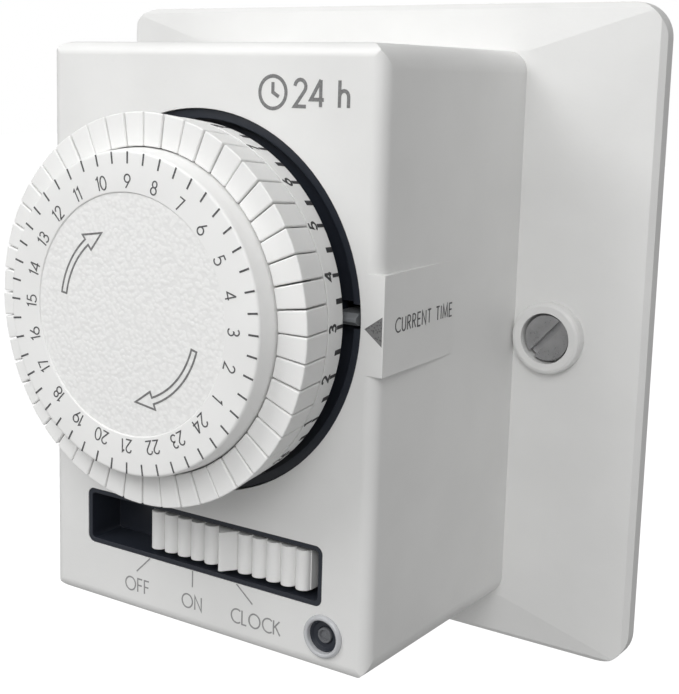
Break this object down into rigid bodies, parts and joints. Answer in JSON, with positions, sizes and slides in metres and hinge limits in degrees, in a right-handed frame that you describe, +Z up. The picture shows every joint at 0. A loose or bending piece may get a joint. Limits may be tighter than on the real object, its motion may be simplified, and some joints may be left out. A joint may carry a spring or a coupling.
{
  "type": "programmable timer",
  "caption": "Wall-mounted mechanical daily time switch with a numbered dial ringed by captive tappets, a mode slider, a lamp and a backplate.",
  "frame": {"origin": "on the wall face, midway between the two fixing screws", "axes": "+Z up, +X to the right as the user faces the timer, front towards -Y, wall at y = 0"},
  "size_m": [0.086, 0.0613, 0.086],
  "materials": {
    "white_plastic": "satin",
    "dial_plastic": "satin",
    "black_plastic": "matte",
    "grey_plastic": "satin",
    "acetal": "satin",
    "brass": "satin",
    "zinc_plate": "satin",
    "steel": "satin",
    "phenolic": "matte",
    "nylon": "satin",
    "clear_lens": "gloss",
    "neon_glass": "gloss",
    "resistor_body": "matte",
    "brown_pvc": "satin",
    "blue_pvc": "satin",
    "white_pvc": "satin"
  },
  "bodies": {
    "case": {"backplate": "white_plastic", "housing": "white_plastic", "front_chassis": "black_plastic", "motor_cover": "zinc_plate", "motor_case": "zinc_plate", "motor_screws": "steel", "movement_plate": "zinc_plate", "pillars": "steel", "pillar_screws": "steel", "chassis_screws": "steel", "lever_pin": "steel", "switch_case": "phenolic", "switch_blade": "brass", "switch_contacts": "brass", "detent_spring": "steel", "lamp_lens": "clear_lens", "neon_lamp": "neon_glass", "lamp_resistor": "resistor_body", "terminal_block": "nylon", "terminal_clamps": "brass", "terminal_screws": "brass", "block_screws": "steel", "switch_wires": "brown_pvc", "motor_wires": "blue_pvc", "lamp_wires": "white_pvc", "housing_screws": "steel", "fixing_screws": "steel"},
    "dial": {"number_dial": "dial_plastic", "tappet_carrier": "dial_plastic", "dial_spindle": "steel", "dial_wheel": "acetal", "clutch_spring": "steel", "spindle_clip": "steel"},
    "tappets_01": {"tappets_01": "dial_plastic"},
    "tappets_02": {"tappets_02": "dial_plastic"},
    "tappets_03": {"tappets_03": "dial_plastic"},
    "tappets_04": {"tappets_04": "dial_plastic"},
    "tappets_05": {"tappets_05": "dial_plastic"},
    "tappets_06": {"tappets_06": "dial_plastic"},
    "tappets_07": {"tappets_07": "dial_plastic"},
    "tappets_08": {"tappets_08": "dial_plastic"},
    "tappets_09": {"tappets_09": "dial_plastic"},
    "tappets_10": {"tappets_10": "dial_plastic"},
    "tappets_11": {"tappets_11": "dial_plastic"},
    "tappets_12": {"tappets_12": "dial_plastic"},
    "centre_gear": {"centre_wheel": "acetal", "centre_pinion": "brass", "centre_arbor": "steel"},
    "motor_output": {"motor_shaft": "steel", "motor_pinion": "brass"},
    "trip_lever": {"trip_lever": "grey_plastic"},
    "switch_plunger": {"switch_plunger": "acetal"},
    "mode_slider": {"mode_slider": "dial_plastic"}
  },
  "joints": [
    {"name": "dial_turn", "type": "hinge", "parent": "case", "child": "dial", "pos_m": [-0.0005, -0.045, 0.0056], "axis": [0, 1, 0], "continuous": true},
    {"name": "tappet_slide_01", "type": "slide", "parent": "dial", "child": "tappets_01", "axis": [0, -1, 0], "range_m": [0, 0.002]},
    {"name": "tappet_slide_02", "type": "slide", "parent": "dial", "child": "tappets_02", "axis": [0, -1, 0], "range_m": [0, 0.002]},
    {"name": "tappet_slide_03", "type": "slide", "parent": "dial", "child": "tappets_03", "axis": [0, -1, 0], "range_m": [0, 0.002]},
    {"name": "tappet_slide_04", "type": "slide", "parent": "dial", "child": "tappets_04", "axis": [0, -1, 0], "range_m": [0, 0.002]},
    {"name": "tappet_slide_05", "type": "slide", "parent": "dial", "child": "tappets_05", "axis": [0, -1, 0], "range_m": [0, 0.002]},
    {"name": "tappet_slide_06", "type": "slide", "parent": "dial", "child": "tappets_06", "axis": [0, -1, 0], "range_m": [0, 0.002]},
    {"name": "tappet_slide_07", "type": "slide", "parent": "dial", "child": "tappets_07", "axis": [0, -1, 0], "range_m": [0, 0.002]},
    {"name": "tappet_slide_08", "type": "slide", "parent": "dial", "child": "tappets_08", "axis": [0, -1, 0], "range_m": [0, 0.002]},
    {"name": "tappet_slide_09", "type": "slide", "parent": "dial", "child": "tappets_09", "axis": [0, -1, 0], "range_m": [0, 0.002]},
    {"name": "tappet_slide_10", "type": "slide", "parent": "dial", "child": "tappets_10", "axis": [0, -1, 0], "range_m": [0, 0.002]},
    {"name": "tappet_slide_11", "type": "slide", "parent": "dial", "child": "tappets_11", "axis": [0, -1, 0], "range_m": [0, 0.002]},
    {"name": "tappet_slide_12", "type": "slide", "parent": "dial", "child": "tappets_12", "axis": [0, -1, 0], "range_m": [0, 0.002]},
    {"name": "centre_turn", "type": "hinge", "parent": "case", "child": "centre_gear", "pos_m": [-0.0005, -0.03, -0.0154], "axis": [0, 1, 0], "continuous": true},
    {"name": "motor_turn", "type": "hinge", "parent": "case", "child": "motor_output", "pos_m": [0.007, -0.03, -0.00241], "axis": [0, 1, 0], "continuous": true},
    {"name": "lever_trip", "type": "hinge", "parent": "case", "child": "trip_lever", "pos_m": [0.0206, -0.0305, -0.011], "axis": [-1, 0, 0], "range_deg": [0, 5]},
    {"name": "plunger_press", "type": "slide", "parent": "case", "child": "switch_plunger", "axis": [0, 1, 0], "range_m": [0, 0.001]},
    {"name": "mode_select", "type": "slide", "parent": "case", "child": "mode_slider", "axis": [-1, 0, 0], "range_m": [0, 0.0094]}
  ],
  "couplings": [
    {"joint": "centre_turn", "follows": "dial_turn", "ratio": -6},
    {"joint": "motor_turn", "follows": "dial_turn", "ratio": 24},
    {"joint": "plunger_press", "follows": "lever_trip", "m_per_rad": 0.011}
  ]
}
